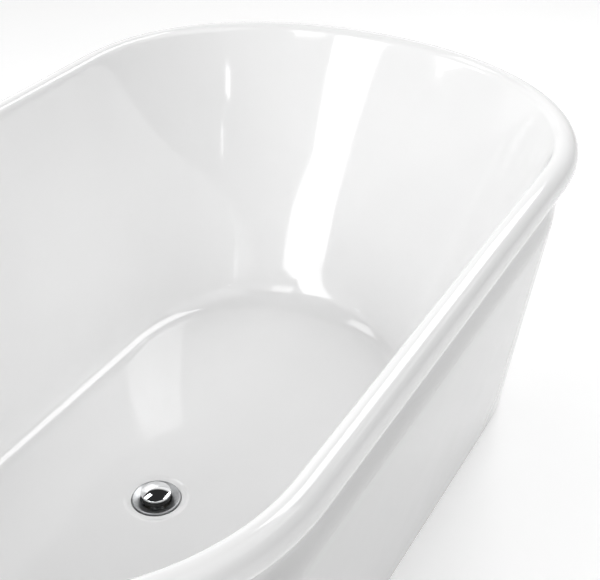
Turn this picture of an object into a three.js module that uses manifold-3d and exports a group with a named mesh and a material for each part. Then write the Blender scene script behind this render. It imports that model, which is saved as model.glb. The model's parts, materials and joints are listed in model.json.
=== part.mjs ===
// Freestanding double-ended acrylic bath with a pop-up waste a little to the foot side of its middle.
// Millimetres, +Z up. The origin is on the floor under the middle of the bath, and +X runs along it.
// The overflow is on the -Y side. Pieces that touch keep a gap of GAP between them.

import * as THREE from 'three';
import { mergeVertices } from 'three/addons/utils/BufferGeometryUtils.js';
import Module from 'manifold-3d';

const wasm = await Module();
wasm.setup();

// ---------------------------------------------------------------- driving dimensions

const LENGTH = 1460;
const WIDTH = 850;
const HEIGHT = 580;
const GAP = 0.3;

// Horizontal outlines: half length a, half width b, half of the straight side s, exponent n of the ends.
const RIM = { a: LENGTH / 2, b: WIDTH / 2, s: 370, n: 2.09 };
const BASE = { a: 652, b: 326.5, s: 430, n: 4.6 };
const WALL_FOOT = { a: 506, b: 270, s: 242, n: 2.1 };
const FLOOR_CORNER = { a: 487, b: 257, s: 236, n: 2.1 };
const FLOOR_EDGE = { a: 452, b: 222, s: 230, n: 2.1 };

// Rolled rim of the basin
const SHEET = 6;
const ROLL = 24;
const ROLL_END = -45;
const CREASE = 115;
const CREASE_BACK = 105;

// Levels of the basin floor, which falls to a shallow round recess for the waste
const UNDERSIDE_Z = 114;
const RECESS_Z = 119.2;
const RECESS_TOP_Z = 123.8;
const RECESS_RADIUS = 38;
const RECESS_TOP_RADIUS = 46;
const FLOOR_EDGE_Z = 128;
const WALL_FOOT_Z = 170;

// Outer shell: a cove under the roll, then a straight taper to the floor
const SKIRT_SHEET = 5;
const COVE_INSET = 22.5;
const COVE_END_Z = 449;
const COVE_PULL = 36.5;
const COVE_END_LEAN = 0.15;
const SKIRT_BOTTOM_Z = 1.5;
const LAP_SHEET = 4;
const LAP_TOP = -20;

// Sub-frame
const BOARD_SIZE = { length: 860, width: 400, corner: 60, thickness: 18, drainHole: 60 };
const BOARD_TOP_Z = UNDERSIDE_Z - GAP;
const TUBE = 25;
const TUBE_WALL = 2;
const RAIL_LENGTH = 820;
const RAIL_Y = 150;
const RAIL_TOP_Z = BOARD_TOP_Z - BOARD_SIZE.thickness - GAP;
const BAR_LENGTH = 510;
const BAR_TOP_Z = RAIL_TOP_Z - TUBE - GAP;
const BARS = { head: 360, middle: 60, foot: -360 };
const SIDES = { left: 1, right: -1 };
const BOARD_SCREW_X = [-320, 0, 320];
const SCREW_RADIUS = 2.8;
const SCREW_HOLE_RADIUS = 3.1;
const BRACKET = { width: 30, sheet: 3, start: 229, top: 115, screw: 241 };

// Levelling feet, each on an M10 stud screwed through its bar and locked by a nut
const STUD_RADIUS = 5;
const STUD_HOLE_RADIUS = 5.4;
const FOOT_Y = 215;
const STUD_BOTTOM_Z = 4.3;
const STUD_TOP_Z = 98;
const PAD_RADIUS = 25;
const PAD_HEIGHT = 14;
const NUT_HEIGHT = 8;
const NUT_ACROSS = 17;

// Pop-up waste, turned about an upright axis at WASTE_X. The stopper is modelled open, and closes by
// sinking CAP_TRAVEL.
const WASTE_X = -70;
const HOLE_RADIUS = 25;
const FLANGE_RADIUS = 36;
const FLANGE_TOP_Z = 125.6;
const FLANGE_UNDERSIDE_Z = RECESS_Z + 1.3;
const WASTE_TUBE_RADIUS = 23.7;
const WASTE_BORE_RADIUS = 21;
const WASTE_TUBE_END_Z = 86;
const CAP_RADIUS = 22.4;
const CAP_TRAVEL = 7.5;
const CAP_UNDERSIDE_Z = FLANGE_TOP_Z - 0.5 + CAP_TRAVEL;
const SEAL_BOTTOM_Z = 123.5;
const POST_RADIUS = 4;
const POST_BOTTOM_Z = 84.2;
const CARTRIDGE_BORE = 4.4;
const CARTRIDGE_FLOOR_Z = 64;
const TEE_TOP_Z = 100;
const TEE_BOTTOM_Z = 26;
const TEE_BORE = 20;
const BRANCH_Z = 48;
const BRANCH_END_Y = -62;
const TAILPIECE_END_Z = 10;

// Overflow, through the -Y wall beside the waste
const OVERFLOW_Z = 445;
const OVERFLOW_HOLE_RADIUS = 26;
const OVERFLOW_DEPTH = -21.2;
const COVER_RADIUS = 34;
const PIPE_RADIUS = 12.5;
const PIPE_BORE = 10.7;
const SPIGOT_RADIUS = 10;
const PIPE_BEND = 52;

const radians = THREE.MathUtils.degToRad;

// ---------------------------------------------------------------- geometry helpers

// Welds a geometry to positions only, drops collapsed triangles and turns its faces outward.
function solid(geometry) {
  const bare = geometry.clone();
  bare.deleteAttribute('normal');
  bare.deleteAttribute('uv');
  const welded = mergeVertices(bare, 1e-3);
  const position = welded.getAttribute('position');
  const source = welded.index.array;
  const corner = [new THREE.Vector3(), new THREE.Vector3(), new THREE.Vector3()];
  const faces = [];
  let volume = 0;
  for (let i = 0; i < source.length; i += 3) {
    const [a, b, c] = [source[i], source[i + 1], source[i + 2]];
    if (a === b || b === c || c === a) continue;
    [a, b, c].forEach((index, k) => corner[k].fromBufferAttribute(position, index));
    volume += corner[0].dot(corner[1].clone().cross(corner[2]));
    faces.push([a, b, c]);
  }
  const outward = volume > 0 ? faces : faces.map(([a, b, c]) => [a, c, b]);
  const result = new THREE.BufferGeometry();
  result.setAttribute('position', position);
  result.setIndex(outward.flat());
  return result;
}

function toManifold(geometry) {
  const body = solid(geometry);
  return new wasm.Manifold(new wasm.Mesh({
    numProp: 3,
    vertProperties: new Float32Array(body.getAttribute('position').array),
    triVerts: new Uint32Array(body.index.array),
  }));
}

function fromManifold(manifold) {
  const mesh = manifold.getMesh();
  const geometry = new THREE.BufferGeometry();
  geometry.setAttribute('position', new THREE.BufferAttribute(mesh.vertProperties, 3));
  geometry.setIndex(new THREE.BufferAttribute(mesh.triVerts, 1));
  return geometry;
}

function join(...pieces) {
  return fromManifold(pieces.map(toManifold).reduce((whole, piece) => whole.add(piece)));
}

function cut(base, ...tools) {
  return fromManifold(tools.map(toManifold).reduce((rest, tool) => rest.subtract(tool), toManifold(base)));
}

// A piece turned about Z from a closed or axis-to-axis outline of [radius, height] points.
function turned(outline, segments = 32, closed = true) {
  const points = outline.map(([radius, height]) => new THREE.Vector2(radius, height));
  if (closed) points.push(points[0].clone());
  return new THREE.LatheGeometry(points, segments).rotateX(Math.PI / 2);
}

function ring(inner, outer, low, high, segments = 32) {
  return turned([[inner, low], [outer, low], [outer, high], [inner, high]], segments);
}

function rod(radius, low, high, segments = 12) {
  return turned([[0, low], [radius, low], [radius, high], [0, high]], segments, false);
}

function hexNut(across, hole, low, high, quality = 6) {
  const corner = across / Math.sqrt(3);
  const outline = new THREE.Shape();
  for (let i = 0; i < 6; i += 1) {
    const angle = radians(60 * i);
    outline[i === 0 ? 'moveTo' : 'lineTo'](corner * Math.cos(angle), corner * Math.sin(angle));
  }
  outline.holes.push(new THREE.Path().absarc(0, 0, hole, 0, 2 * Math.PI));
  const options = { depth: high - low, bevelEnabled: false, curveSegments: quality };
  return new THREE.ExtrudeGeometry(outline, options).translate(0, 0, low);
}

function roundedRectangle(length, width, radius) {
  const [x, y] = [length / 2 - radius, width / 2 - radius];
  const outline = new THREE.Shape();
  outline.absarc(x, y, radius, 0, Math.PI / 2);
  outline.absarc(-x, y, radius, Math.PI / 2, Math.PI);
  outline.absarc(-x, -y, radius, Math.PI, 1.5 * Math.PI);
  outline.absarc(x, -y, radius, 1.5 * Math.PI, 2 * Math.PI);
  return outline;
}

// ---------------------------------------------------------------- rings of the two shells

const END_STEPS = 20;
const SIDE_STEPS = 4;

// Every ring has the same stations, so that rings can be joined, blended and bent point by point.
function makeStations() {
  const stations = [];
  for (const side of [1, -1]) {
    for (let i = 0; i <= END_STEPS; i += 1) {
      const angle = radians(-90 + (180 * i) / END_STEPS) + (side < 0 ? Math.PI : 0);
      stations.push({ cos: Math.cos(angle), sin: Math.sin(angle), along: side });
    }
    for (let i = 1; i < SIDE_STEPS; i += 1) {
      stations.push({ cos: 0, sin: side, along: side * (1 - (2 * i) / SIDE_STEPS) });
    }
  }
  return stations;
}

const STATIONS = makeStations();

const bulge = (value, n) => (Math.abs(value) < 1e-9 ? 0 : Math.sign(value) * Math.abs(value) ** (2 / n));

const inset = (outline, distance) => ({ ...outline, a: outline.a - distance, b: outline.b - distance });

function ovalRing({ a, b, s, n }, z) {
  return STATIONS.map(({ cos, sin, along }) => (
    new THREE.Vector3((a - s) * bulge(cos, n) + along * s, b * bulge(sin, n), z)));
}

// A ring round the waste.
function roundRing(radius, z) {
  return ovalRing(RIM, z).map(({ x, y }) => {
    const angle = Math.atan2(y / RIM.b, x / RIM.a);
    return new THREE.Vector3(WASTE_X + radius * Math.cos(angle), radius * Math.sin(angle), z);
  });
}

const blend = (from, to, t) => from.map((point, i) => point.clone().lerp(to[i], t));

const bend = (from, corner, to, t) => blend(blend(from, corner, t), blend(corner, to, t), t);

// A ring on the rolled rim: its distance from the roll's centre, and its angle above the outermost line.
function rollRing(radius, degrees) {
  const angle = radians(degrees);
  return ovalRing(inset(RIM, ROLL - radius * Math.cos(angle)), HEIGHT - ROLL + radius * Math.sin(angle));
}

// Joins rings into one closed skin; the last ring joins the first.
function loopOfRings(rings) {
  const count = STATIONS.length;
  const positions = rings.flat().flatMap(({ x, y, z }) => [x, y, z]);
  const faces = [];
  rings.forEach((_, i) => {
    const [here, there] = [i * count, ((i + 1) % rings.length) * count];
    for (let k = 0; k < count; k += 1) {
      const next = (k + 1) % count;
      faces.push(here + k, here + next, there + next, here + k, there + next, there + k);
    }
  });
  const geometry = new THREE.BufferGeometry();
  geometry.setAttribute('position', new THREE.Float32BufferAttribute(positions, 3));
  geometry.setIndex(faces);
  return solid(geometry);
}

// ---------------------------------------------------------------- the scene

const bath = new THREE.Group();

const FINISHES = {
  acrylic: { color: 0xf3f3f3, roughness: 0.08, metalness: 0 },
  board: { color: 0xb08d62, roughness: 0.8, metalness: 0 },
  galvanised: { color: 0x9a9fa3, roughness: 0.45, metalness: 1 },
  zinc: { color: 0xb9bcc0, roughness: 0.35, metalness: 1 },
  chrome: { color: 0xdfe2e5, roughness: 0.06, metalness: 1 },
  brass: { color: 0xc2a15a, roughness: 0.35, metalness: 1 },
  steel: { color: 0xa7abaf, roughness: 0.35, metalness: 1 },
  rubber: { color: 0x161616, roughness: 0.7, metalness: 0 },
  whitePlastic: { color: 0xe6e6e2, roughness: 0.4, metalness: 0 },
  blackPlastic: { color: 0x1e1e20, roughness: 0.55, metalness: 0 },
};

function add(name, finish, geometry, parent = bath) {
  const mesh = new THREE.Mesh(solid(geometry), new THREE.MeshStandardMaterial(FINISHES[finish]));
  mesh.name = name;
  parent.add(mesh);
  return mesh;
}

// ---------------------------------------------------------------- where the overflow sits

// Local +Z of this group is the wall's normal into the bath, and local +Y runs down the wall.
const WALL_TOP = inset(RIM, ROLL - ROLL * Math.cos(radians(CREASE)));
const WALL_TOP_Z = HEIGHT - ROLL + ROLL * Math.sin(radians(CREASE));
const WALL_SLOPE = (WALL_TOP.b - WALL_FOOT.b) / (WALL_TOP_Z - WALL_FOOT_Z);
const overflow = new THREE.Group();
overflow.position.set(WASTE_X, -WALL_FOOT.b - WALL_SLOPE * (OVERFLOW_Z - WALL_FOOT_Z), OVERFLOW_Z);
overflow.rotation.x = Math.atan(WALL_SLOPE) - Math.PI / 2;
overflow.updateMatrixWorld(true);
bath.add(overflow);

// ---------------------------------------------------------------- the two shells

function basinShell() {
  const recessTop = roundRing(RECESS_TOP_RADIUS, RECESS_TOP_Z);
  const floorEdge = ovalRing(FLOOR_EDGE, FLOOR_EDGE_Z);
  const floorCorner = ovalRing(FLOOR_CORNER, FLOOR_EDGE_Z);
  const wallFoot = ovalRing(WALL_FOOT, WALL_FOOT_Z);
  const wallTop = rollRing(ROLL, CREASE);
  const wallTopBack = rollRing(ROLL - SHEET, CREASE_BACK);
  const wallFootBack = ovalRing(inset(WALL_FOOT, -SHEET), WALL_FOOT_Z);
  const cornerBack = ovalRing(inset(FLOOR_CORNER, -SHEET), UNDERSIDE_Z);
  const edgeBack = ovalRing(FLOOR_EDGE, UNDERSIDE_Z);
  const holeBack = roundRing(HOLE_RADIUS, UNDERSIDE_Z);
  const shell = loopOfRings([
    holeBack,
    roundRing(HOLE_RADIUS, RECESS_Z),
    roundRing(RECESS_RADIUS, RECESS_Z),
    recessTop,
    ...[0.3, 0.65].map((t) => blend(recessTop, floorEdge, t)),
    floorEdge,
    ...[0.2, 0.4, 0.6, 0.8].map((t) => bend(floorEdge, floorCorner, wallFoot, t)),
    wallFoot,
    ...[0.35, 0.7].map((t) => blend(wallFoot, wallTop, t)),
    ...[CREASE, 90, 67.5, 45, 22.5, 0, -22.5, ROLL_END].map((angle) => rollRing(ROLL, angle)),
    ...[ROLL_END, LAP_TOP, 15, 50, 80].map((angle) => rollRing(ROLL - SHEET, angle)),
    wallTopBack,
    blend(wallTopBack, wallFootBack, 0.5),
    wallFootBack,
    ...[0.33, 0.66].map((t) => bend(wallFootBack, cornerBack, edgeBack, t)),
    edgeBack,
    blend(edgeBack, holeBack, 0.6),
  ]);
  const overflowHole = rod(OVERFLOW_HOLE_RADIUS, -15, 15, 24).applyMatrix4(overflow.matrixWorld);
  return cut(shell, overflowHole);
}

// The cove's section, a cubic curve from the end of the roll to the start of the taper.
const ROLL_END_INSET = ROLL - ROLL * Math.cos(radians(ROLL_END));
const ROLL_END_Z = HEIGHT - ROLL + ROLL * Math.sin(radians(ROLL_END));
const COVE = new THREE.CubicBezierCurve(
  new THREE.Vector2(ROLL_END_INSET, ROLL_END_Z),
  new THREE.Vector2(),
  new THREE.Vector2(),
  new THREE.Vector2(COVE_INSET, COVE_END_Z),
);
COVE.v1.copy(COVE.v0).add(new THREE.Vector2(1, -1).setLength(COVE_PULL));
COVE.v2.copy(COVE.v3).add(new THREE.Vector2(-COVE_END_LEAN, 1).setLength(COVE_PULL));

function coveRing(t, thickness) {
  const point = COVE.getPoint(t);
  return ovalRing(inset(RIM, point.x + thickness), point.y);
}

function skirtShell() {
  const bottom = ovalRing(BASE, SKIRT_BOTTOM_Z);
  const bottomBack = ovalRing(inset(BASE, SKIRT_SHEET), SKIRT_BOTTOM_Z);
  const taperBack = coveRing(1, SKIRT_SHEET);
  const lapRadius = ROLL - SHEET - GAP;
  return loopOfRings([
    rollRing(ROLL, ROLL_END - 1),
    ...[0.1, 0.2, 0.32, 0.5, 0.75].map((t) => coveRing(t, 0)),
    coveRing(1, 0),
    blend(coveRing(1, 0), bottom, 0.5),
    bottom,
    bottomBack,
    blend(taperBack, bottomBack, 0.5),
    taperBack,
    ...[0.6, 0.3].map((t) => coveRing(t, SKIRT_SHEET)),
    rollRing(lapRadius - LAP_SHEET, ROLL_END - 12),
    rollRing(lapRadius - LAP_SHEET, LAP_TOP),
    rollRing(lapRadius, LAP_TOP),
    rollRing(lapRadius, ROLL_END - 1),
  ]);
}

add('basin', 'acrylic', basinShell());
add('skirt', 'acrylic', skirtShell());

// ---------------------------------------------------------------- board, rails and bars

function baseBoard() {
  const outline = roundedRectangle(BOARD_SIZE.length, BOARD_SIZE.width, BOARD_SIZE.corner);
  outline.holes.push(new THREE.Path().absarc(WASTE_X, 0, BOARD_SIZE.drainHole, 0, 2 * Math.PI));
  const options = { depth: BOARD_SIZE.thickness, bevelEnabled: false, curveSegments: 6 };
  const low = BOARD_TOP_Z - BOARD_SIZE.thickness;
  const plate = new THREE.ExtrudeGeometry(outline, options).translate(0, 0, low);
  return cut(plate, ...boardScrewPlaces().map(([x, y]) => (
    rod(SCREW_HOLE_RADIUS, low - 1, low + 13, 8).translate(x, y, 0))));
}

// A square tube lying along X, centred on the origin.
function squareTube(length) {
  const outline = new THREE.Shape();
  const hole = new THREE.Path();
  [[outline, TUBE / 2], [hole, TUBE / 2 - TUBE_WALL]].forEach(([path, half]) => {
    path.moveTo(-half, -half);
    path.lineTo(half, -half);
    path.lineTo(half, half);
    path.lineTo(-half, half);
    path.closePath();
  });
  outline.holes.push(hole);
  const options = { depth: length, bevelEnabled: false };
  return new THREE.ExtrudeGeometry(outline, options).translate(0, 0, -length / 2).rotateY(Math.PI / 2);
}

function boardScrewPlaces() {
  return BOARD_SCREW_X.flatMap((x) => [[x, RAIL_Y], [x, -RAIL_Y]]);
}

function frameRail() {
  return cut(squareTube(RAIL_LENGTH), ...BOARD_SCREW_X.map((x) => (
    rod(SCREW_HOLE_RADIUS, -TUBE, TUBE, 8).translate(x, 0, 0))));
}

function frameBar(hasBrackets) {
  const bar = squareTube(BAR_LENGTH).rotateZ(Math.PI / 2);
  const studHoles = [FOOT_Y, -FOOT_Y].map((y) => rod(STUD_HOLE_RADIUS, -TUBE, TUBE, 10).translate(0, y, 0));
  const screwHoles = [BRACKET.screw, -BRACKET.screw].map((y) => (
    rod(SCREW_HOLE_RADIUS, 0, TUBE, 8).translate(0, y, 0)));
  return cut(bar, ...studHoles, ...(hasBrackets ? screwHoles : []));
}

// A hexagon-headed screw along Z: the head from 0 to its height, the shank the other way.
function hexScrew(across, head, shank) {
  return join(hexNut(across, 0.8, 0, head), rod(SCREW_RADIUS, -shank, head - 0.8, 8));
}

add('base_board', 'board', baseBoard());
for (const [side, y] of Object.entries(SIDES)) {
  const rail = add(`frame_rail_${side}`, 'galvanised', frameRail());
  rail.position.set(0, y * RAIL_Y, RAIL_TOP_Z - TUBE / 2);
}
for (const [place, x] of Object.entries(BARS)) {
  const bar = add(`frame_bar_${place}`, 'galvanised', frameBar(place !== 'middle'));
  bar.position.set(x, 0, BAR_TOP_Z - TUBE / 2);
}
boardScrewPlaces().forEach(([x, y], i) => {
  const screw = hexScrew(10, 4, 36).rotateX(Math.PI);
  add(`board_screw_${i + 1}`, 'zinc', screw).position.set(x, y, RAIL_TOP_Z - TUBE - GAP);
});

// ---------------------------------------------------------------- brackets between the bars and the skirt

// The skirt's inner face along its straight sides, a gap inside it, at height z.
function besideSkirt(z) {
  const lean = (RIM.b - COVE_INSET - BASE.b) / (COVE_END_Z - SKIRT_BOTTOM_Z);
  return BASE.b + lean * (z - SKIRT_BOTTOM_Z) - SKIRT_SHEET - 2 * GAP;
}

function skirtBracket() {
  const low = BAR_TOP_Z + GAP;
  const high = low + BRACKET.sheet;
  const profile = new THREE.Shape();
  profile.moveTo(BRACKET.start, low);
  profile.lineTo(besideSkirt(low), low);
  profile.lineTo(besideSkirt(BRACKET.top), BRACKET.top);
  profile.lineTo(besideSkirt(BRACKET.top) - BRACKET.sheet, BRACKET.top);
  profile.lineTo(besideSkirt(high) - BRACKET.sheet, high);
  profile.lineTo(BRACKET.start, high);
  const options = { depth: BRACKET.width, bevelEnabled: false };
  const angle = new THREE.ExtrudeGeometry(profile, options).translate(0, 0, -BRACKET.width / 2);
  const upright = angle.rotateX(Math.PI / 2).rotateZ(Math.PI / 2);
  return cut(upright, rod(SCREW_HOLE_RADIUS, low - 1, high + 1, 8).translate(0, BRACKET.screw, 0));
}

for (const place of ['head', 'foot']) {
  for (const [side, y] of Object.entries(SIDES)) {
    const corner = new THREE.Group();
    corner.position.x = BARS[place];
    corner.rotation.z = y > 0 ? 0 : Math.PI;
    bath.add(corner);
    add(`skirt_bracket_${place}_${side}`, 'galvanised', skirtBracket(), corner);
    const screw = add(`bracket_screw_${place}_${side}`, 'zinc', hexScrew(10, 4, 14), corner);
    screw.position.set(0, BRACKET.screw, BAR_TOP_Z + BRACKET.sheet + 2 * GAP);
  }
}

// ---------------------------------------------------------------- levelling feet

function footPad() {
  return turned([
    [0, 0], [PAD_RADIUS - 2, 0], [PAD_RADIUS, 3], [PAD_RADIUS - 4, 6], [12, 9], [10, PAD_HEIGHT],
    [STUD_RADIUS + GAP, PAD_HEIGHT], [STUD_RADIUS + GAP, STUD_BOTTOM_Z - GAP], [0, STUD_BOTTOM_Z - GAP],
  ], 16, false);
}

for (const [place, x] of Object.entries(BARS)) {
  for (const [side, y] of Object.entries(SIDES)) {
    const foot = new THREE.Group();
    foot.position.set(x, y * FOOT_Y, 0);
    bath.add(foot);
    const lockNutTop = BAR_TOP_Z - TUBE - GAP;
    const lockNut = hexNut(NUT_ACROSS, STUD_HOLE_RADIUS, lockNutTop - NUT_HEIGHT, lockNutTop);
    add(`foot_stud_${place}_${side}`, 'zinc', rod(STUD_RADIUS, STUD_BOTTOM_Z, STUD_TOP_Z, 10), foot);
    add(`foot_pad_${place}_${side}`, 'blackPlastic', footPad(), foot);
    add(`foot_lock_nut_${place}_${side}`, 'zinc', lockNut, foot);
  }
}

// ---------------------------------------------------------------- pop-up waste

function wasteFlange() {
  const body = turned([
    [WASTE_BORE_RADIUS, WASTE_TUBE_END_Z], [WASTE_TUBE_RADIUS, WASTE_TUBE_END_Z],
    [WASTE_TUBE_RADIUS, FLANGE_UNDERSIDE_Z], [FLANGE_RADIUS - 1, FLANGE_UNDERSIDE_Z],
    [FLANGE_RADIUS, FLANGE_UNDERSIDE_Z + 1], [FLANGE_RADIUS, FLANGE_TOP_Z - 0.8],
    [FLANGE_RADIUS - 0.9, FLANGE_TOP_Z], [25.6, 122.1], [22.8, 119.4], [22.3, 115.6],
    [WASTE_BORE_RADIUS, 114.4],
  ]);
  const spoke = new THREE.BoxGeometry(2 * WASTE_BORE_RADIUS + 2, 4, 6).translate(0, 0, 100);
  const boss = rod(10, 96, 105, 16);
  const cross = join(spoke, spoke.clone().rotateZ(Math.PI / 2), boss);
  return join(body, cut(cross, rod(7.3, 90, 110, 16)));
}

// The cartridge of the push-open, push-close stopper, which hangs in the flange's cross.
function stopperCartridge() {
  return turned([
    [0, CARTRIDGE_FLOOR_Z - 2], [7, CARTRIDGE_FLOOR_Z - 2], [7, 105.3], [9, 105.3], [9, 107.3], [7, 107.3],
    [7, 111], [CARTRIDGE_BORE, 111], [CARTRIDGE_BORE, CARTRIDGE_FLOOR_Z], [0, CARTRIDGE_FLOOR_Z],
  ], 16, false);
}

class Coil extends THREE.Curve {
  getPoint(t, target = new THREE.Vector3()) {
    const angle = 2 * Math.PI * 5 * t;
    const [low, high] = [CARTRIDGE_FLOOR_Z + 1, POST_BOTTOM_Z - 1];
    return target.set(3.2 * Math.cos(angle), 3.2 * Math.sin(angle), low + (high - low) * t);
  }
}

function stopperSpring() {
  const wire = new THREE.Shape().absarc(0, 0, 0.6, 0, 2 * Math.PI);
  return new THREE.ExtrudeGeometry(wire, { extrudePath: new Coil(), steps: 40, curveSegments: 2 });
}

function stopperPost() {
  return turned([
    [0, POST_BOTTOM_Z], [POST_RADIUS, POST_BOTTOM_Z], [POST_RADIUS, SEAL_BOTTOM_Z - 2.6],
    [9, SEAL_BOTTOM_Z - 2.6], [9, SEAL_BOTTOM_Z - GAP], [POST_RADIUS, SEAL_BOTTOM_Z - GAP],
    [POST_RADIUS, CAP_UNDERSIDE_Z + 3], [0, CAP_UNDERSIDE_Z + 3],
  ], 12, false);
}

function stopperSeal() {
  const top = CAP_UNDERSIDE_Z - GAP;
  return turned([
    [POST_RADIUS + GAP, SEAL_BOTTOM_Z], [20.9, SEAL_BOTTOM_Z], [21.6, SEAL_BOTTOM_Z + 0.8],
    [21.4, SEAL_BOTTOM_Z + 3.8], [20.3, SEAL_BOTTOM_Z + 4.3], [20.3, SEAL_BOTTOM_Z + 5.2],
    [21.1, SEAL_BOTTOM_Z + 5.7], [21.1, top], [POST_RADIUS + GAP, top],
  ]);
}

function stopperCap() {
  const bandTop = CAP_UNDERSIDE_Z + 2.8;
  const rise = 4.4;
  const domeRadius = (CAP_RADIUS ** 2 + rise ** 2) / (2 * rise);
  const dome = [20, 16, 11, 5, 0].map((radius) => (
    [radius, bandTop + rise - domeRadius + Math.sqrt(domeRadius ** 2 - radius ** 2)]));
  return turned([
    [0, CAP_UNDERSIDE_Z + 3.4], [POST_RADIUS + GAP, CAP_UNDERSIDE_Z + 3.4],
    [POST_RADIUS + GAP, CAP_UNDERSIDE_Z], [CAP_RADIUS - 0.5, CAP_UNDERSIDE_Z],
    [CAP_RADIUS, CAP_UNDERSIDE_Z + 0.5], [CAP_RADIUS, bandTop], ...dome,
  ], 32, false);
}

// The tee joins the overflow to the waste: its socket takes the flange's tube, its branch the pipe.
function wasteTee() {
  const socket = WASTE_TUBE_RADIUS + GAP;
  const lie = (geometry) => geometry.rotateX(Math.PI / 2).translate(0, 0, BRANCH_Z);
  const outside = turned([
    [0, TEE_BOTTOM_Z], [24, TEE_BOTTOM_Z], [24, 78], [29, 81], [29, TEE_TOP_Z], [0, TEE_TOP_Z],
  ], 24, false);
  const inside = turned([
    [0, TEE_BOTTOM_Z - 1], [TEE_BORE, TEE_BOTTOM_Z - 1], [TEE_BORE, WASTE_TUBE_END_Z - GAP],
    [socket, WASTE_TUBE_END_Z - GAP], [socket, TEE_TOP_Z + 1], [0, TEE_TOP_Z + 1],
  ], 24, false);
  const branch = lie(rod(17, 0, -BRANCH_END_Y, 20));
  const branchBore = lie(rod(PIPE_RADIUS + GAP, 0, 1 - BRANCH_END_Y, 20));
  return cut(join(outside, branch), inside, branchBore);
}

const waste = new THREE.Group();
waste.position.x = WASTE_X;
bath.add(waste);
add('waste_flange', 'chrome', wasteFlange(), waste);
const topGasket = ring(26, FLANGE_RADIUS - 0.5, RECESS_Z + 0.2, FLANGE_UNDERSIDE_Z - GAP);
add('waste_top_gasket', 'rubber', topGasket, waste);
add('waste_bottom_washer', 'rubber', ring(24.2, 34, UNDERSIDE_Z - 3.7, UNDERSIDE_Z - GAP, 24), waste);
const lockNut = hexNut(60, WASTE_TUBE_RADIUS + GAP, UNDERSIDE_Z - 12, UNDERSIDE_Z - 4, 16);
add('waste_lock_nut', 'brass', lockNut, waste);
add('stopper_cartridge', 'brass', stopperCartridge(), waste);
add('stopper_spring', 'steel', stopperSpring(), waste);
add('stopper_post', 'brass', stopperPost(), waste);
add('stopper_seal', 'rubber', stopperSeal(), waste);
add('stopper_cap', 'chrome', stopperCap(), waste);
add('waste_tee', 'whitePlastic', wasteTee(), waste);
add('waste_tailpiece', 'brass', ring(18.2, TEE_BORE - GAP, TAILPIECE_END_Z, 34, 24), waste);
const tailpieceNut = hexNut(50, TEE_BORE + GAP, 14, TEE_BOTTOM_Z - GAP, 16);
add('waste_tailpiece_nut', 'whitePlastic', tailpieceNut, waste);

// ---------------------------------------------------------------- overflow

function overflowCover() {
  const plate = turned([
    [3.2, 6.2], [29.5, 5.8], [31.5, 4], [31.5, 0.6], [COVER_RADIUS, 0.6], [COVER_RADIUS, 5],
    [31, 8.2], [10, 9.2], [3.2, 9.2],
  ]);
  const slots = [50, 70, 90, 110, 130].map((angle) => (
    new THREE.BoxGeometry(8, 7, 4).translate(COVER_RADIUS - 1, 0, 2).rotateZ(radians(angle))));
  return cut(plate, ...slots);
}

// A shallow drum behind the wall, with a neck through it and a spigot for the pipe.
function overflowBody() {
  const [front, back] = [-9.2, -33.2];
  const drum = turned([
    [0, back], [31, back], [31, front], [25.6, front], [25.6, -1], [0, -1],
  ], 24, false);
  const chamber = ring(5, 23, back + 3, 1, 24);
  const lie = (geometry) => geometry.rotateX(Math.PI / 2).translate(0, 0, OVERFLOW_DEPTH);
  const spigot = lie(rod(SPIGOT_RADIUS, -50, -28, 12));
  const spigotBore = lie(rod(SPIGOT_RADIUS - 2, -51, -20, 12));
  return cut(join(drum, spigot), chamber, spigotBore, rod(2.6, -14, 1, 10));
}

function overflowScrew() {
  return turned([[0, -10], [2.2, -10], [2.2, 9.5], [5.5, 9.5], [5, 11], [3, 12], [0, 12.2]], 16, false);
}

function overflowPipe() {
  const start = new THREE.Vector3(0, 33, OVERFLOW_DEPTH).applyMatrix4(overflow.matrixWorld);
  const down = new THREE.Vector3(0, 1, 0).transformDirection(overflow.matrixWorld);
  const corner = start.clone().addScaledVector(down, (BRANCH_Z - start.z) / down.z);
  const bendTop = corner.clone().addScaledVector(down, -PIPE_BEND);
  const bendEnd = corner.clone().setY(corner.y + PIPE_BEND);
  const end = new THREE.Vector3(WASTE_X, BRANCH_END_Y + 22, BRANCH_Z);
  const route = new THREE.CurvePath();
  route.add(new THREE.LineCurve3(start, bendTop));
  route.add(new THREE.QuadraticBezierCurve3(bendTop, corner, bendEnd));
  route.add(new THREE.LineCurve3(bendEnd, end));
  const section = new THREE.Shape().absarc(0, 0, PIPE_RADIUS, 0, 2 * Math.PI);
  section.holes.push(new THREE.Path().absarc(0, 0, PIPE_BORE, 0, 2 * Math.PI));
  return new THREE.ExtrudeGeometry(section, { extrudePath: route, steps: 22, curveSegments: 5 });
}

function pipeNut() {
  const nut = hexNut(34, PIPE_RADIUS + GAP, 0, 12, 16);
  return nut.rotateX(Math.PI / 2).translate(WASTE_X, BRANCH_END_Y - GAP, BRANCH_Z);
}

add('overflow_cover', 'chrome', overflowCover(), overflow);
add('overflow_screw', 'chrome', overflowScrew(), overflow);
add('overflow_gasket', 'rubber', ring(27, 31.5, -8.9, -6.9, 24), overflow);
add('overflow_body', 'whitePlastic', overflowBody(), overflow);
add('overflow_pipe', 'whitePlastic', overflowPipe());
add('overflow_pipe_nut', 'whitePlastic', pipeNut());

export default bath;
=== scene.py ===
"""Freestanding double-ended acrylic bath with a pop-up waste, an overflow and a levelling sub-frame.

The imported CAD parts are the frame. The shells, the waste, the overflow and the turned fittings are
built again here as smooth meshes from nearly the same sections. The other CAD parts keep their shape
and get finished surfaces. Sections are in millimetres, objects and the stage in metres. +Z is up,
+X runs along the bath towards its head, and the overflow is in the wall on -Y.
"""

import json
import math

import bmesh
import bpy
from mathutils import Matrix, Vector


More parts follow.
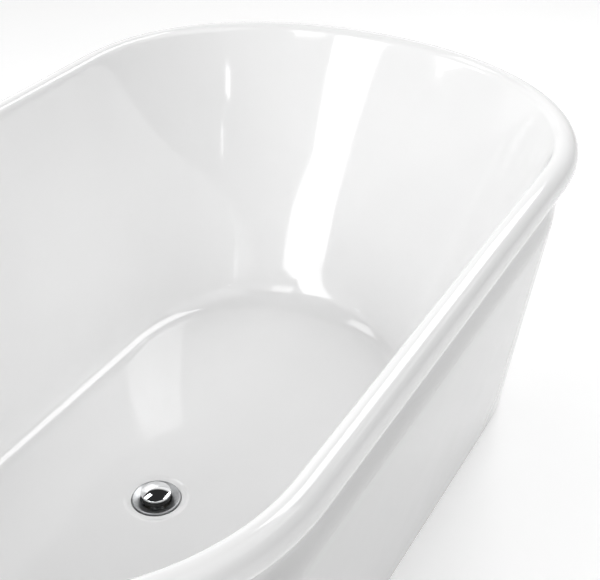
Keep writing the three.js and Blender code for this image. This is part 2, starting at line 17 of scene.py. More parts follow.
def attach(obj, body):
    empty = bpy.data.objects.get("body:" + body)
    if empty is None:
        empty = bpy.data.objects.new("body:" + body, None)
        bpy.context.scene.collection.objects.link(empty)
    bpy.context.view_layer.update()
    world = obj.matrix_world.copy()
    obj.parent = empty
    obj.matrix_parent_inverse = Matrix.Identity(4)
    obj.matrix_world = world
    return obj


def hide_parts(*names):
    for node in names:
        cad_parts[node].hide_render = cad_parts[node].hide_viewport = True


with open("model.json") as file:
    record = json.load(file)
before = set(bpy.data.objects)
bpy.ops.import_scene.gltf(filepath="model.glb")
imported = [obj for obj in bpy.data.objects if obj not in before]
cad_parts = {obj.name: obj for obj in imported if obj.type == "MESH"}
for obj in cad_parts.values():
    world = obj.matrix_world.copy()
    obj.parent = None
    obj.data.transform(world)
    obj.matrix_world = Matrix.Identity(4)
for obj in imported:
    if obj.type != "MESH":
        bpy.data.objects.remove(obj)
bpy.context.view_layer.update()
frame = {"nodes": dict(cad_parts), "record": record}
MM = 0.001

# ---------------------------------------------------------------- sections of the two shells, in mm

# Outlines seen from above: half length a, half width b, half of the straight side s, exponent n of
# the ends, where 2 is a half ellipse and more is squarer.
RIM = dict(a=730, b=425, s=370, n=2.09)
BASE = dict(a=652, b=326.5, s=430, n=4.6)
WALL_FOOT = dict(a=506, b=270, s=242, n=2.1)
FLOOR_CORNER = dict(a=487, b=257, s=236, n=2.1)
FLOOR_EDGE = dict(a=452, b=222, s=230, n=2.1)

HEIGHT = 580
SHEET = 6

# The rolled rim: its radius, and angles on it above its outermost line. The roll meets the inner wall
# at CREASE. The crease is softened from CREASE_START to a share CREASE_SOFTNESS of the way down the wall.
ROLL = 24
ROLL_END = -45
CREASE = 115
CREASE_START = 98
CREASE_SOFTNESS = 0.022
CREASE_BACK = CREASE - 10

# The basin's floor and wall. Each end wall bows out by up to WALL_BOW. BOW_SCALE makes the bow's curve,
# t * (1 - t) ** 3, reach 1 at its peak. At each end the floor's corner lies CORNER_SHIFT further in.
UNDERSIDE_Z = 114
FLOOR_EDGE_Z = 128
WALL_FOOT_Z = 170
WALL_BOW = 2.4
BOW_SCALE = 9.48
CORNER_SHIFT = 5

# The waste: its place along X, its hole, and the [radius, height] section of the recess around it.
WASTE_X = -70
HOLE_RADIUS = 25
RECESS_Z = 119.2
RECESS = [
    [HOLE_RADIUS + 0.6, RECESS_Z], [36.8, RECESS_Z], [36.9, 122.7], [44, 122.8], [48.5, 124.1], [60, 124.1],
]
RECESS_ROUNDING = 3

# The skirt: a cove under the roll, then a taper to the floor, and a lap behind the roll.
SKIRT_SHEET = 5
SKIRT_BOTTOM_Z = 1.5
COVE_END_Z = 449
COVE_INSET = 22.5
COVE_PULL = 36.5
COVE_END_LEAN = 0.15
LAP_RADIUS = ROLL - SHEET - 0.3
LAP_SHEET = 4
LAP_TOP = -20

# Points round a ring: steps in each end's half turn and in each straight side.
END_STEPS = 96
SIDE_STEPS = 24

# The overflow: height of its hole's centre in the -Y wall, the hole's radius, and how far behind
# the wall its pipe leaves. The pipe runs level at BRANCH_Z into the tee.
OVERFLOW_Z = 445
OVERFLOW_HOLE_RADIUS = 26
SPIGOT_DEPTH = -21.2
BRANCH_Z = 48


# ---------------------------------------------------------------- mesh helpers

def link(name, mesh, sharp_degrees=32):
    """A mesh as a smooth-shaded object, with edges kept sharp above an angle."""
    mesh.name = name
    mesh.polygons.foreach_set("use_smooth", [True] * len(mesh.polygons))
    mesh.set_sharp_from_angle(angle=math.radians(sharp_degrees))
    piece = bpy.data.objects.new(name, mesh)
    bpy.context.scene.collection.objects.link(piece)
    return piece


def skin(rings, close_rings):
    """A mesh over rings of equal length; a ring of one point closes the skin there."""
    mesh = bmesh.new()
    rows = [[mesh.verts.new(point * MM) for point in ring] for ring in rings]
    pairs = list(zip(rows, rows[1:]))
    if close_rings:
        pairs.append((rows[-1], rows[0]))
    count = max(len(row) for row in rows)
    for here, there in pairs:
        for k in range(count):
            n = (k + 1) % count
            near = [here[k % len(here)], here[n % len(here)]]
            far = [there[n % len(there)], there[k % len(there)]]
            distinct = list(dict.fromkeys(near + far))
            if len(distinct) > 2:
                mesh.faces.new(distinct)
    bmesh.ops.recalc_face_normals(mesh, faces=mesh.faces)
    made = bpy.data.meshes.new("skin")
    mesh.to_mesh(made)
    mesh.free()
    return made


def blend(start, end, t):
    """The ring a share t of the way between two rings."""
    return [a.lerp(b, t) for a, b in zip(start, end)]


def bend(start, corner, end, t):
    """A ring on the smooth curve that leaves start towards corner and arrives at end from corner."""
    return blend(blend(start, corner, t), blend(corner, end, t), t)


def steps(first, last, count):
    """count evenly spaced values from first to last, both included."""
    return [first + (last - first) * i / (count - 1) for i in range(count)]


def soften(outline, radius, closed=True):
    """A [radius, height] outline with its corners rounded, each by a short curve of four points."""
    if not radius:
        return [Vector(point) for point in outline]
    count = len(outline)
    made = []
    for i, point in enumerate(outline):
        corner = Vector(point)
        if not closed and i in (0, count - 1):
            made.append(corner)
            continue
        before, after = Vector(outline[i - 1]) - corner, Vector(outline[(i + 1) % count]) - corner
        start = corner + before.normalized() * min(radius, before.length * 0.45)
        end = corner + after.normalized() * min(radius, after.length * 0.45)
        for t in (0, 1 / 3, 2 / 3, 1):
            made.append(start.lerp(corner, t).lerp(corner.lerp(end, t), t))
    return made


def turned(outline, rounding=0.4, closed=True, segments=96):
    """A mesh turned about Z from a closed or axis-to-axis outline of [radius, height] points."""
    rings = []
    for radius, height in soften(outline, rounding, closed):
        if radius < 1e-6:
            rings.append([Vector((0, 0, height))])
            continue
        angles = [2 * math.pi * k / segments for k in range(segments)]
        rings.append([Vector((radius * math.cos(a), radius * math.sin(a), height)) for a in angles])
    return skin(rings, closed)


def block(size, rounding=0.4):
    """A box mesh centred on the origin with rounded edges."""
    mesh = bmesh.new()
    bmesh.ops.create_cube(mesh, size=1, matrix=Matrix.Diagonal((*[s * MM for s in size], 1)))
    bmesh.ops.bevel(mesh, geom=mesh.edges[:], offset=rounding * MM, segments=3, affect="EDGES", profile=0.5)
    made = bpy.data.meshes.new("block")
    mesh.to_mesh(made)
    mesh.free()
    return made


def placed(mesh, matrix):
    """The mesh itself, moved."""
    mesh.transform(matrix)
    return mesh


def combined(mesh, tools, operation):
    """The mesh after a boolean with each tool mesh in turn."""
    for tool in tools:
        base = bpy.data.objects.new("base", mesh)
        other = bpy.data.objects.new("tool", tool)
        for item in (base, other):
            bpy.context.scene.collection.objects.link(item)
        modifier = base.modifiers.new("cut", "BOOLEAN")
        modifier.operation = operation
        modifier.solver = "EXACT"
        modifier.object = other
        graph = bpy.context.evaluated_depsgraph_get()
        mesh = bpy.data.meshes.new_from_object(base.evaluated_get(graph))
        bpy.data.objects.remove(base)
        bpy.data.objects.remove(other)
    return mesh


# ---------------------------------------------------------------- rings

def make_stations():
    """Points round every ring, half turns at the ends and straight sides between them.

    Each is a cosine, a sine, and a share along the straight side from 1 at the head to -1 at the foot.
    """
    made = []
    for side in (1, -1):
        for angle in steps(-math.pi / 2, math.pi / 2, END_STEPS + 1):
            made.append((side * math.cos(angle), side * math.sin(angle), side))
        made += [(0.0, side, side * (1 - 2 * i / SIDE_STEPS)) for i in range(1, SIDE_STEPS)]
    return made


STATIONS = make_stations()


def bulge(value, n):
    """A sine or cosine changed for a superellipse of exponent n."""
    return 0.0 if abs(value) < 1e-9 else math.copysign(abs(value) ** (2 / n), value)


def inset(outline, distance):
    """An outline moved inward."""
    return dict(outline, a=outline["a"] - distance, b=outline["b"] - distance)


def oval(outline, z):
    """The ring of an outline at a height."""
    a, b, s, n = (outline[key] for key in "absn")
    return [Vector(((a - s) * bulge(c, n) + along * s, b * bulge(d, n), z)) for c, d, along in STATIONS]


def ends_moved(ring, distance):
    """A ring with its two ends moved outward and its straight sides left where they are."""
    return [point + Vector((c * abs(c) * distance, 0, 0)) for point, (c, d, along) in zip(ring, STATIONS)]


def wall_ring(foot, top, t):
    """A ring on the inner wall, whose ends bow out a little above the floor."""
    return ends_moved(blend(foot, top, t), WALL_BOW * BOW_SCALE * t * (1 - t) ** 3)


def round_ring(radius, z):
    """A round ring about the waste, with each point on the bearing of the rim's point."""
    angles = [math.atan2(p.y / RIM["b"], p.x / RIM["a"]) for p in oval(RIM, z)]
    return [Vector((WASTE_X + radius * math.cos(t), radius * math.sin(t), z)) for t in angles]


def roll_ring(radius, degrees):
    """A ring on the rolled rim, at an angle above its outermost line."""
    t = math.radians(degrees)
    return oval(inset(RIM, ROLL - radius * math.cos(t)), HEIGHT - ROLL + radius * math.sin(t))


def cove_ring(t, thickness):
    """A ring on the cove, a cubic curve from the end of the roll to the start of the taper."""
    down = math.radians(ROLL_END)
    v0 = Vector((ROLL - ROLL * math.cos(down), HEIGHT - ROLL + ROLL * math.sin(down)))
    v3 = Vector((COVE_INSET, COVE_END_Z))
    v1 = v0 + Vector((1, -1)).normalized() * COVE_PULL
    v2 = v3 + Vector((-COVE_END_LEAN, 1)).normalized() * COVE_PULL
    u = 1 - t
    point = v0 * u ** 3 + v1 * 3 * u * u * t + v2 * 3 * u * t * t + v3 * t ** 3
    return oval(inset(RIM, point.x + thickness), point.y)


# ---------------------------------------------------------------- shells

def overflow_frame():
    """The overflow's own axes: +Z along the wall's normal into the bath, +Y down the wall."""
    top = inset(RIM, ROLL - ROLL * math.cos(math.radians(CREASE)))
    top_z = HEIGHT - ROLL + ROLL * math.sin(math.radians(CREASE))
    slope = (top["b"] - WALL_FOOT["b"]) / (top_z - WALL_FOOT_Z)
    y = -WALL_FOOT["b"] - slope * (OVERFLOW_Z - WALL_FOOT_Z)
    place = Matrix.Translation(Vector((WASTE_X, y, OVERFLOW_Z)) * MM)
    return place @ Matrix.Rotation(math.atan(slope) - math.pi / 2, 4, "X")


OVERFLOW = overflow_frame()


def basin_mesh():
    """The inner shell: waste hole, recess, floor, corner, wall and roll, then its back down to the hole."""
    floor_edge = oval(FLOOR_EDGE, FLOOR_EDGE_Z)
    floor_corner = ends_moved(oval(FLOOR_CORNER, FLOOR_EDGE_Z), -CORNER_SHIFT)
    wall_foot = oval(WALL_FOOT, WALL_FOOT_Z)
    wall_top = roll_ring(ROLL, CREASE)
    crease_start = roll_ring(ROLL, CREASE_START)
    crease_end = blend(wall_top, wall_foot, CREASE_SOFTNESS)
    wall_top_back = roll_ring(ROLL - SHEET, CREASE_BACK)
    wall_foot_back = oval(inset(WALL_FOOT, -SHEET), WALL_FOOT_Z)
    corner_back = oval(inset(FLOOR_CORNER, -SHEET), UNDERSIDE_Z)
    edge_back = oval(FLOOR_EDGE, UNDERSIDE_Z)
    hole_back = round_ring(HOLE_RADIUS, UNDERSIDE_Z)
    rings = [hole_back, round_ring(HOLE_RADIUS, RECESS_Z - 0.6)]
    rings += [round_ring(radius, z) for radius, z in soften(RECESS, RECESS_ROUNDING, False)]
    rings += [blend(rings[-1], floor_edge, t) for t in steps(0, 1, 14)[1:]]
    rings += [bend(floor_edge, floor_corner, wall_foot, t) for t in steps(0, 1, 15)[1:]]
    rings += [wall_ring(wall_foot, crease_end, t) for t in steps(0, 1, 25)[1:]]
    rings += [bend(crease_end, wall_top, crease_start, t) for t in steps(0, 1, 9)[1:]]
    rings += [roll_ring(ROLL, angle) for angle in steps(CREASE_START, ROLL_END, 24)[1:]]
    rings += [roll_ring(ROLL - SHEET, angle) for angle in steps(ROLL_END, CREASE_BACK, 16)]
    rings += [blend(wall_top_back, wall_foot_back, t) for t in steps(0, 1, 9)[1:]]
    rings += [bend(wall_foot_back, corner_back, edge_back, t) for t in steps(0, 1, 7)[1:]]
    rings += [blend(edge_back, hole_back, t) for t in (0.3, 0.6, 0.9)]
    hole = turned([[0, -15], [OVERFLOW_HOLE_RADIUS, -15], [OVERFLOW_HOLE_RADIUS, 15], [0, 15]], 0, False)
    return combined(skin(rings, True), [placed(hole, OVERFLOW)], "DIFFERENCE")


def skirt_mesh():
    """The outer shell: cove and taper to the bottom edge, back up inside, and the lap behind the roll."""
    bottom = oval(BASE, SKIRT_BOTTOM_Z)
    bottom_back = oval(inset(BASE, SKIRT_SHEET), SKIRT_BOTTOM_Z)
    rings = [roll_ring(ROLL, ROLL_END - 1)]
    rings += [cove_ring(t, 0) for t in steps(0, 1, 22)[1:]]
    rings += [blend(cove_ring(1, 0), bottom, t) for t in steps(0, 1, 22)[1:]]
    rings += [blend(bottom_back, cove_ring(1, SKIRT_SHEET), t) for t in steps(0, 1, 12)]
    rings += [cove_ring(t, SKIRT_SHEET) for t in steps(1, 0.3, 10)[1:]]
    rings += [roll_ring(LAP_RADIUS - LAP_SHEET, angle) for angle in steps(ROLL_END - 12, LAP_TOP, 4)]
    rings += [roll_ring(LAP_RADIUS, angle) for angle in steps(LAP_TOP, ROLL_END - 1, 4)]
    return skin(rings, True)


# ---------------------------------------------------------------- waste and overflow

def waste_flange_mesh():
    """The flange's dish and tube, with a cross of two spokes that carries the stopper's cartridge."""
    body = turned([
        [21, 86], [23.7, 86], [23.7, 120.5], [35, 120.5], [36, 121.5], [36, 124.8], [35.1, 125.6],
        [34.3, 125.6], [23.9, 121.9], [22.9, 121], [22.3, 115.6], [21, 114.4],
    ], 0.5)
    spoke = placed(block((44, 4, 6), 0.8), Matrix.Translation((0, 0, 100 * MM)))
    across = spoke.copy()
    across.transform(Matrix.Rotation(math.pi / 2, 4, "Z"))
    boss = turned([[7.4, 96], [10, 96], [10, 105], [7.4, 105]], 0.6, segments=48)
    core = turned([[0, 90], [7.3, 90], [7.3, 110], [0, 110]], 0, False, 48)
    cross = combined(combined(spoke, [across, boss], "UNION"), [core], "DIFFERENCE")
    return combined(body, [cross], "UNION")


def stopper_cap_mesh():
    """The stopper's cap: a rounded band under a shallow dome that is part of a sphere."""
    band_top, rise, radius = 136.1, 3.7, 22.4
    dome_radius = (radius ** 2 + rise ** 2) / (2 * rise)
    centre_z = band_top + rise - dome_radius
    dome = [[r, centre_z + math.sqrt(dome_radius ** 2 - r ** 2)] for r in steps(20, 0, 16)]
    return turned([
        [0, 136], [4.3, 136], [4.3, 132.6], [21.9, 132.6], [radius, 133.1], [radius, band_top], *dome,
    ], 1.3, False)


def stopper_seal_mesh():
    """The rubber seal under the cap, in two tiers with a groove between them."""
    return turned([
        [4.3, 122.8], [20.4, 122.8], [21.3, 123.8], [21.4, 127.3], [20.3, 127.8],
        [20.3, 128.7], [21.1, 129.2], [21.1, 132.3], [4.3, 132.3],
    ], 0.4)


def overflow_cover_mesh():
    """The overflow's round cover, with five notches in its lower edge for the water."""
    plate = turned([
        [3.2, 6.2], [29.5, 5.8], [31.5, 4], [31.5, 0.6], [34, 0.6], [34, 5], [31, 8.2], [10, 9.2], [3.2, 9.2],
    ], 0.9)
    notches = []
    for degrees in (50, 70, 90, 110, 130):
        notch = placed(block((8, 7, 4), 0.6), Matrix.Translation(Vector((33, 0, 2)) * MM))
        notches.append(placed(notch, Matrix.Rotation(math.radians(degrees), 4, "Z")))
    return combined(plate, notches, "DIFFERENCE")


def overflow_screw_mesh():
    """The screw that holds the overflow's cover, with a slot across its head."""
    screw = turned([
        [0, -10], [2.2, -10], [2.2, 9.5], [5.5, 9.5], [5, 11], [3, 12], [0, 12.2],
    ], 0.4, False, 48)
    slot = placed(block((7, 1.2, 2), 0.1), Matrix.Translation((0, 0, 12.1 * MM)))
    return combined(screw, [slot], "DIFFERENCE")


def foot_pad_mesh():
    """A foot's pad, with the socket that its stud turns in."""
    return turned([
        [0, 0], [23, 0], [25, 3], [21, 6], [12, 9], [10, 14], [5.3, 14], [5.3, 4], [0, 4],
    ], 1.2, False)


def foot_stud_mesh():
    """An M10 stud; its thread is drawn as close grooves."""
    crest, root, pitch = 4.98, 4.45, 1.5
    first, last = 6.0, 96.5
    flanks = []
    z = first
    while z < last:
        flanks += [[crest, z], [root, z + pitch / 2]]
        z += pitch
    return turned([[0, 4.3], [4.3, 4.3], *flanks, [4.3, 98], [0, 98]], 0.05, False, 48)


def spring_mesh():
    """The stopper's spring, a coil of round wire."""
    turns, low, high = 5, 65, 83.2
    coil_radius, wire_radius = 3.2, 0.6
    count = turns * 32
    centres = []
    for i in range(count + 1):
        angle = 2 * math.pi * turns * i / count
        height = low + (high - low) * i / count
        centres.append(Vector((coil_radius * math.cos(angle), coil_radius * math.sin(angle), height)))
    return tube_mesh(centres, wire_radius, 0, 10)


def tube_mesh(centres, outer, inner, segments):
    """A round tube along a line of points; inner is its bore, or 0 for a solid rod."""
    rings = []
    across = (centres[1] - centres[0]).orthogonal()
    for i, centre in enumerate(centres):
        ahead = (centres[min(i + 1, len(centres) - 1)] - centres[max(i - 1, 0)]).normalized()
        across = (across - ahead * across.dot(ahead)).normalized()
        beside = ahead.cross(across)
        turn = [2 * math.pi * k / segments for k in range(segments)]
        rings.append([(centre, across * math.cos(t) + beside * math.sin(t)) for t in turn])
    outside = [[centre + spoke * outer for centre, spoke in ring] for ring in rings]
    if not inner:
        return skin([[centres[0]], *outside, [centres[-1]]], False)
    inside = [[centre + spoke * inner for centre, spoke in ring] for ring in reversed(rings)]
    return skin(outside + inside, True)


def pipe_mesh():
    """The overflow pipe: down the back of the wall, round a bend and level into the tee's branch."""
    drop, bend_size, branch_y = 33, 52, -40
    outer_radius, bore_radius = 12.5, 10.7
    start = (OVERFLOW @ Vector((0, drop * MM, SPIGOT_DEPTH * MM))) / MM
    down = OVERFLOW.to_3x3() @ Vector((0, 1, 0))
    corner = start + down * ((BRANCH_Z - start.z) / down.z)
    bend_top, bend_end = corner - down * bend_size, corner + Vector((0, bend_size, 0))
    curve = [bend_top.lerp(corner, t).lerp(corner.lerp(bend_end, t), t) for t in steps(0, 1, 25)]
    return tube_mesh([start, *curve, Vector((WASTE_X, branch_y, BRANCH_Z))], outer_radius, bore_radius, 48)


def tee_mesh():
    """The waste tee, with its socket for the flange's tube and its branch for the overflow pipe."""
    level = Matrix.Translation((0, 0, BRANCH_Z * MM)) @ Matrix.Rotation(math.pi / 2, 4, "X")
    body = turned([[0, 26], [24, 26], [24, 78], [29, 81], [29, 100], [0, 100]], 0.8, False, 72)
    inside = turned([[0, 25], [20, 25], [20, 85.7], [24, 85.7], [24, 101], [0, 101]], 0, False, 72)
    branch = placed(turned([[0, 0], [17, 0], [17, 62], [0, 62]], 0.8, False, 48), level)
    bore = placed(turned([[0, 0], [12.8, 0], [12.8, 63], [0, 63]], 0, False, 48), level)
    return combined(combined(body, [branch], "UNION"), [inside, bore], "DIFFERENCE")


def overflow_body_mesh():
    """The drum behind the wall, with its neck through it and the spigot for the pipe."""
    down = Matrix.Translation((0, 0, SPIGOT_DEPTH * MM)) @ Matrix.Rotation(math.pi / 2, 4, "X")
    drum = turned([[0, -33.2], [31, -33.2], [31, -9.2], [25.6, -9.2], [25.6, -1], [0, -1]], 0.8, False, 72)
    chamber = turned([[5, -30.2], [23, -30.2], [23, 1], [5, 1]], 0, True, 72)
    spigot = placed(turned([[0, -50], [10, -50], [10, -28], [0, -28]], 0.4, False, 48), down)
    bore = placed(turned([[0, -51], [8, -51], [8, -20], [0, -20]], 0, False, 48), down)
    thread = turned([[0, -14], [2.6, -14], [2.6, 1], [0, 1]], 0, False, 24)
    return combined(combined(drum, [spigot], "UNION"), [chamber, bore, thread], "DIFFERENCE")


def ring_mesh(inner, outer, low, high, rounding=0.5):
    """A flat ring or a short tube, from its two radii and its two heights."""
    return turned([[inner, low], [outer, low], [outer, high], [inner, high]], rounding)


def post_mesh():
    """The stopper's post, with a collar under the seal and a spigot that goes down inside the spring."""
    return turned([
        [0, 84.2], [2.3, 84.2], [2.3, 92], [4, 92], [4, 120.9], [9, 120.9], [9, 123.2], [4, 123.2],
        [4, 135.6], [0, 135.6],
    ], 0.4, False, 48)


def cartridge_mesh():
    """The blind sleeve that guides the post and holds the spring."""
    return turned([
        [0, 62], [7, 62], [7, 105.3], [9, 105.3], [9, 107.3], [7, 107.3], [7, 111], [4.4, 111],
        [4.4, 64], [0, 64],
    ], 0.4, False, 48)


# ---------------------------------------------------------------- finishes

# Sockets of the Mix node that carry colours.
MIX_FACTOR, MIX_FIRST, MIX_SECOND = 0, 6, 7
MIX_RESULT = 2


class Surface:
    """A Principled material whose colour, roughness and bump come from procedural textures in metres."""

    def __init__(self, name, metallic=0.0, **uniform):
        self.material = bpy.data.materials.new(name)
        self.material.use_nodes = True
        self.tree = self.material.node_tree
        self.shader = self.tree.nodes["Principled BSDF"]
        self.shader.inputs["Metallic"].default_value = metallic
        for socket, value in uniform.items():
            self.shader.inputs[socket.replace("_", " ")].default_value = value
        self.place = self.tree.nodes.new("ShaderNodeTexCoord").outputs["Object"]
        self.normal = None

    def node(self, kind, inputs):
        """A new node, with each input linked to a socket or set to a value."""
        made = self.tree.nodes.new(kind)
        for key, value in inputs.items():
            if isinstance(value, bpy.types.NodeSocket):
                self.tree.links.new(value, made.inputs[key])
            else:
                made.inputs[key].default_value = value
        return made

    def spot(self, size, stretch):
        """The place on the piece in units of size, times stretch along each axis."""
        scale = [1 / (size * share) for share in stretch]
        return self.node("ShaderNodeMapping", {"Vector": self.place, "Scale": scale}).outputs["Vector"]

    def noise(self, size, stretch=(1, 1, 1), detail=3.0):
        """Noise with features about size across, times stretch along each axis."""
        inputs = {"Vector": self.spot(size, stretch), "Scale": 1.0, "Detail": detail}
        return self.node("ShaderNodeTexNoise", inputs).outputs["Fac"]

    def cells(self, size, stretch=(1, 1, 1), output="Color"):
        """Voronoi cells about size across, as a random level each or as the distance to their points."""
        inputs = {"Vector": self.spot(size, stretch), "Scale": 1.0}
        return self.node("ShaderNodeTexVoronoi", inputs).outputs[output]

    def spread(self, factor, low, high, start=0.3, end=0.7):
        """A factor whose range from start to end is turned into low to high."""
        inputs = {"Value": factor, "From Min": start, "From Max": end, "To Min": low, "To Max": high}
        return self.node("ShaderNodeMapRange", inputs).outputs["Result"]

    def colour(self, factor, first, second, start=0.3, end=0.7):
        """A base colour that goes from first to second with the factor."""
        share = self.spread(factor, 0, 1, start, end)
        mix = self.tree.nodes.new("ShaderNodeMix")
        mix.data_type = "RGBA"
        self.tree.links.new(share, mix.inputs[MIX_FACTOR])
        mix.inputs[MIX_FIRST].default_value = (*first, 1)
        mix.inputs[MIX_SECOND].default_value = (*second, 1)
        self.tree.links.new(mix.outputs[MIX_RESULT], self.shader.inputs["Base Color"])

    def rough(self, factor, low, high, start=0.3, end=0.7):
        """A roughness that goes from low to high with the factor."""
        self.tree.links.new(self.spread(factor, low, high, start, end), self.shader.inputs["Roughness"])

    def bump(self, height, depth):
        """Relief on top of what is there already: a height of 1 stands depth metres above 0."""
        inputs = {"Height": height, "Distance": depth, "Strength": 1.0}
        if self.normal is not None:
            inputs["Normal"] = self.normal
        self.normal = self.node("ShaderNodeBump", inputs).outputs["Normal"]
        self.tree.links.new(self.normal, self.shader.inputs["Normal"])


def acrylic(name="acrylic", dark=0.86, light=0.885):
    """Glossy white sanitary acrylic: a faint thermoforming wave, orange peel and dull wiped patches.

    Its white wanders between the levels dark and light.
    """
    made = Surface(name, IOR=1.49, Coat_Weight=0.35, Coat_Roughness=0.03)
    made.colour(made.noise(0.25), (dark, dark, dark), (light, light, light))
    made.rough(made.noise(0.06, (1, 1, 2), 5.0), 0.06, 0.10)
    made.bump(made.noise(0.09, (1, 1, 1.6), 1.0), 0.00006)
    made.bump(made.noise(0.004, detail=1.0), 0.0000015)
    return made.material


def chrome():
    """Polished plate over a buffed base, with dried water spots that dull it a little."""
    made = Surface("chrome", metallic=1.0)
    made.colour(made.noise(0.02), (0.78, 0.79, 0.80), (0.86, 0.865, 0.87))
    made.rough(made.cells(0.006, output="Distance"), 0.10, 0.035, 0.0, 0.35)
    made.bump(made.noise(0.008, (1, 1, 1), 4.0), 0.000006)
    return made.material


def shaded_satin_chrome():
    """The waste flange and the stopper's inner works: dull plate with a slightly uneven grain; its grey, much
    darker than the chrome's, is painted shade for the flange's darker reflections.
    """
    made = Surface("shaded_satin_chrome", metallic=1.0)
    made.colour(made.noise(0.004), (0.42, 0.43, 0.44), (0.50, 0.505, 0.51))
    made.rough(made.noise(0.006, (1, 1, 1), 3.0), 0.30, 0.42)
    made.bump(made.noise(0.0015, detail=2.0), 0.000004)
    return made.material


def rubber():
    """Moulded black rubber: matt, finely pitted, a little greyer where lime has dried on it."""
    made = Surface("rubber", Specular_IOR_Level=0.4)
    made.colour(made.noise(0.006, detail=5.0), (0.012, 0.012, 0.012), (0.035, 0.035, 0.034))
    made.rough(made.noise(0.003), 0.45, 0.7)
    made.bump(made.noise(0.0012, detail=4.0), 0.00004)
    return made.material


def brass():
    """Turned brass: fine rings from the lathe and brown tarnish."""
    made = Surface("brass", metallic=1.0)
    made.colour(made.noise(0.015, detail=5.0), (0.55, 0.40, 0.16), (0.74, 0.60, 0.30))
    made.rough(made.noise(0.01, (1, 1, 0.1), 4.0), 0.22, 0.42)
    made.bump(made.noise(0.01, (1, 1, 0.05), 2.0), 0.00002)
    return made.material


def galvanised():
    """Hot-dip zinc: crystalline spangle, dull grey bloom and a slightly uneven coat."""
    made = Surface("galvanised", metallic=0.85)
    made.colour(made.cells(0.012), (0.36, 0.38, 0.39), (0.56, 0.58, 0.59), 0.1, 0.9)
    made.rough(made.cells(0.012), 0.32, 0.55, 0.1, 0.9)
    made.bump(made.noise(0.02, detail=4.0), 0.00012)
    return made.material


def zinc():
    """Bright zinc plate with a faint blue-grey cast and fine scratches."""
    made = Surface("zinc", metallic=1.0)
    made.colour(made.noise(0.01), (0.60, 0.62, 0.66), (0.74, 0.75, 0.76))
    made.rough(made.noise(0.002, (1, 6, 1), 4.0), 0.2, 0.4)
    made.bump(made.noise(0.001, (1, 8, 1), 3.0), 0.00001)
    return made.material


def spring_steel():
    """Drawn stainless wire: fine lengthwise draw marks."""
    made = Surface("spring_steel", metallic=1.0)
    made.colour(made.noise(0.003), (0.50, 0.51, 0.53), (0.66, 0.67, 0.69))
    made.rough(made.noise(0.001, (1, 1, 5), 3.0), 0.2, 0.36)
    made.bump(made.noise(0.0006, (1, 1, 6), 2.0), 0.00001)
    return made.material


def board():
    """Raw particle board: flattened chips of different browns pressed into a sanded face."""
    made = Surface("board", Specular_IOR_Level=0.25)
    chips = made.cells(0.006, (1.7, 1, 0.5))
    made.colour(chips, (0.33, 0.22, 0.12), (0.66, 0.52, 0.33), 0.15, 0.85)
    made.rough(made.noise(0.004), 0.68, 0.88)
    made.bump(chips, 0.00018)
    made.bump(made.noise(0.0015, detail=5.0), 0.0001)
    return made.material


def white_plastic():
    """Satin moulded polypropylene with a spark-eroded grain."""
    made = Surface("white_plastic", Subsurface_Weight=0.08)
    made.shader.inputs["Subsurface Radius"].default_value = (0.004, 0.004, 0.004)
    made.colour(made.noise(0.05), (0.76, 0.76, 0.73), (0.83, 0.83, 0.81))
    made.rough(made.noise(0.004), 0.32, 0.46)
    made.bump(made.noise(0.0009, detail=2.0), 0.00003)
    return made.material


def black_plastic():
    """Glass-filled nylon: dark, finely grained, scuffed grey where it rubs on the floor."""
    made = Surface("black_plastic")
    made.colour(made.noise(0.008, detail=5.0), (0.018, 0.018, 0.020), (0.060, 0.060, 0.062), 0.35, 0.75)
    made.rough(made.noise(0.002), 0.42, 0.62)
    made.bump(made.noise(0.0008), 0.00005)
    return made.material


FINISHES = {make.__name__: make() for make in (
    acrylic, chrome, rubber, brass, galvanised, zinc, spring_steel, board, white_plastic, black_plastic)}


# ---------------------------------------------------------------- the pieces

SLOT_OF = {entry["node"]: entry["material_slot"] for entry in frame["record"]["subparts"]}
BODY_OF = {node: body for body, nodes in frame["record"]["behaviour"]["bodies"].items() for node in nodes}


def rebuild(node, mesh, place=Matrix(), sharp_degrees=32, finish=None):
    """A finished piece that stands for one CAD node and rides on its body.

    Its finish is the one of the node's slot, unless another is given.
    """
    piece = link(f"{node}_finished", placed(mesh, place), sharp_degrees)
    piece.data.materials.append(finish or FINISHES[SLOT_OF[node]])
    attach(piece, BODY_OF[node])
    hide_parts(node)


def keep(node, edge=0.4):
    """A CAD part that is already right: it gets its finish and a small bevel on its edges."""
    part = frame["nodes"][node]
    part.data.materials.clear()
    part.data.materials.append(FINISHES[SLOT_OF[node]])
    bevel = part.modifiers.new("edges", "BEVEL")
    bevel.width = edge * MM
    bevel.segments = 2
    bevel.limit_method = "ANGLE"
    bevel.angle_limit = math.radians(30)


rebuild("basin", basin_mesh())
# The skirt is the same white acrylic as the basin, but its levels are set much darker: painted shade for the
# lower light that falls on the skirt.
rebuild("skirt", skirt_mesh(), finish=acrylic("skirt_acrylic_painted_shade", 0.58, 0.61))

WASTE = Matrix.Translation((WASTE_X * MM, 0, 0))
